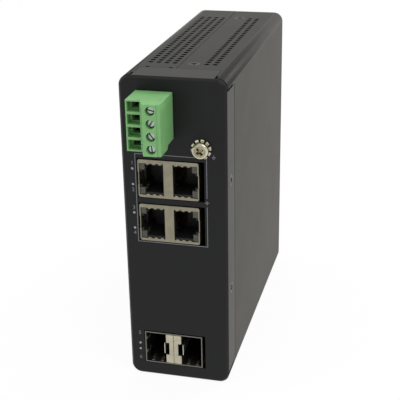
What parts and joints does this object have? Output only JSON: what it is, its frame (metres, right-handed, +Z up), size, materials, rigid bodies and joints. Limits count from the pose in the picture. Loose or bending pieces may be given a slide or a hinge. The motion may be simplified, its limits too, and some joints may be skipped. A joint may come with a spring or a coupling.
{
  "type": "media converter",
  "caption": "Black steel DIN-rail Ethernet media converter with stacked copper jacks, a fibre module cage, a green pluggable power terminal, earth screw and rail clip.",
  "frame": {"origin": "centre of the case's bottom face", "axes": "+Z up, -Y out of the front panel, +X to the right seen from the front"},
  "size_m": [0.0436, 0.1525, 0.135],
  "materials": {
    "case_paint": "black powder coat with a fine grain",
    "black_screw": "blackened steel",
    "bright_screw": "nickel plate",
    "plug_green": "moulded nylon",
    "clamp_steel": "zinc plate",
    "tinned_brass": "tinned brass",
    "shield_nickel": "nickel plate",
    "insert_black": "moulded plastic",
    "contact_gold": "gold plate",
    "lens_clear": "clear moulding",
    "pipe_clear": "frosted moulding",
    "diode_body": "moulded",
    "cage_steel": "nickel plate",
    "plate_cream": "pale nickel plate",
    "board_green": "solder mask",
    "chip_black": "moulded",
    "sink_aluminium": "extruded",
    "can_aluminium": "drawn can",
    "ferrite": "ferrite core",
    "standoff_brass": "turned",
    "clip_black": "glass-filled nylon",
    "spring_steel": "spring wire"
  },
  "bodies": {
    "case": {"front_panel": "case_paint", "chassis": "case_paint", "side_cover": "case_paint", "cover_screws": "black_screw", "panel_screws": "black_screw", "bracket_screws": "black_screw", "terminal_header": "plug_green", "header_pins": "tinned_brass", "earth_screw": "bright_screw", "earth_washer": "bright_screw", "earth_nut": "bright_screw", "jack_shield_lower": "shield_nickel", "jack_shield_upper": "shield_nickel", "jack_insert_lower": "insert_black", "jack_insert_upper": "insert_black", "jack_contacts_lower": "contact_gold", "jack_contacts_upper": "contact_gold", "jack_lenses_lower": "lens_clear", "jack_lenses_upper": "lens_clear", "sfp_cage": "cage_steel", "sfp_plates": "plate_cream", "sfp_latches": "plate_cream", "sfp_sockets": "insert_black", "light_pipes": "pipe_clear", "indicator_diodes": "diode_body", "main_board": "board_green", "board_standoffs": "standoff_brass", "board_screws": "bright_screw", "switch_chip": "chip_black", "heat_sink": "sink_aluminium", "filter_capacitors": "can_aluminium", "power_inductors": "ferrite", "power_transformers": "ferrite", "din_bracket": "clip_black", "din_spring": "spring_steel"},
    "plug": {"terminal_plug": "plug_green", "clamp_screws": "clamp_steel", "wire_clamps": "tinned_brass", "pin_sockets": "tinned_brass"},
    "latch": {"din_latch": "clip_black"}
  },
  "joints": [
    {"name": "plug_pull", "type": "slide", "parent": "case", "child": "plug", "axis": [0, -1, 0], "range_m": [0, 0.012]},
    {"name": "rail_latch", "type": "slide", "parent": "case", "child": "latch", "axis": [0, 0, -1], "range_m": [0, 0.004], "stiffness_N_per_m": 800, "springref_m": -0.003, "deforming": ["din_spring"]}
  ]
}
